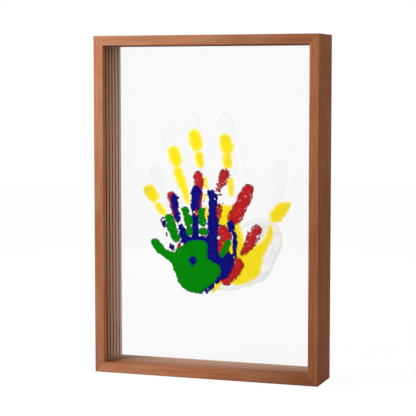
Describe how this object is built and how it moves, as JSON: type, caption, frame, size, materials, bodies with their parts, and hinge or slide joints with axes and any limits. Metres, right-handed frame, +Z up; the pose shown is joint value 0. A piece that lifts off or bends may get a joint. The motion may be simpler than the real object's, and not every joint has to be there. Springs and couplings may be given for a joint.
{
  "type": "layered handprint frame",
  "caption": "Free-standing mitred wooden box frame with a magnetic lift-off top rail and clear panels in grooves, each panel carrying one painted handprint so that the hands overlap in depth",
  "frame": {"origin": "middle of the bottom face that the frame stands on", "axes": "X runs to the right as seen from the front, Y from the front to the back, Z up"},
  "size_m": [0.22, 0.045, 0.32],
  "materials": {
    "stained_wood": "reddish-brown stain under matt lacquer",
    "nail_steel": "plain drawn steel",
    "plated_magnet": "nickel plate",
    "clear_acrylic": "clear polished sheet",
    "green_paint": "dried satin paint",
    "blue_paint": "dried satin paint",
    "red_paint": "dried satin paint",
    "yellow_paint": "dried satin paint",
    "white_paint": "dried satin paint"
  },
  "bodies": {
    "frame": {"left_stile": "stained_wood", "right_stile": "stained_wood", "bottom_rail": "stained_wood", "corner_nails_left": "nail_steel", "corner_nails_right": "nail_steel", "locating_pins_left": "nail_steel", "locating_pins_right": "nail_steel", "stile_magnets_left": "plated_magnet", "stile_magnets_right": "plated_magnet"},
    "loose_rail": {"top_rail": "stained_wood", "rail_magnets_left": "plated_magnet", "rail_magnets_right": "plated_magnet"},
    "layer_green": {"panel_green": "clear_acrylic", "handprint_green": "green_paint"},
    "layer_blue": {"panel_blue": "clear_acrylic", "handprint_blue": "blue_paint"},
    "layer_red": {"panel_red": "clear_acrylic", "handprint_red": "red_paint"},
    "layer_yellow": {"panel_yellow": "clear_acrylic", "handprint_yellow": "yellow_paint"},
    "layer_white": {"panel_white": "clear_acrylic", "handprint_white": "white_paint"}
  },
  "joints": [
    {"name": "top_rail_lift", "type": "slide", "parent": "frame", "child": "loose_rail", "axis": [0, 0, 1], "range_m": [0, 0.4]},
    {"name": "panel_green_lift", "type": "slide", "parent": "frame", "child": "layer_green", "axis": [0, 0, 1], "range_m": [0, 0.3125]},
    {"name": "panel_blue_lift", "type": "slide", "parent": "frame", "child": "layer_blue", "axis": [0, 0, 1], "range_m": [0, 0.3125]},
    {"name": "panel_red_lift", "type": "slide", "parent": "frame", "child": "layer_red", "axis": [0, 0, 1], "range_m": [0, 0.3125]},
    {"name": "panel_yellow_lift", "type": "slide", "parent": "frame", "child": "layer_yellow", "axis": [0, 0, 1], "range_m": [0, 0.3125]},
    {"name": "panel_white_lift", "type": "slide", "parent": "frame", "child": "layer_white", "axis": [0, 0, 1], "range_m": [0, 0.3125]}
  ],
  "couplings": [
    {"joint": "panel_green_lift", "follows": "top_rail_lift", "ratio": 0.78},
    {"joint": "panel_blue_lift", "follows": "top_rail_lift", "ratio": 0.78},
    {"joint": "panel_red_lift", "follows": "top_rail_lift", "ratio": 0.78},
    {"joint": "panel_yellow_lift", "follows": "top_rail_lift", "ratio": 0.78},
    {"joint": "panel_white_lift", "follows": "top_rail_lift", "ratio": 0.78}
  ]
}
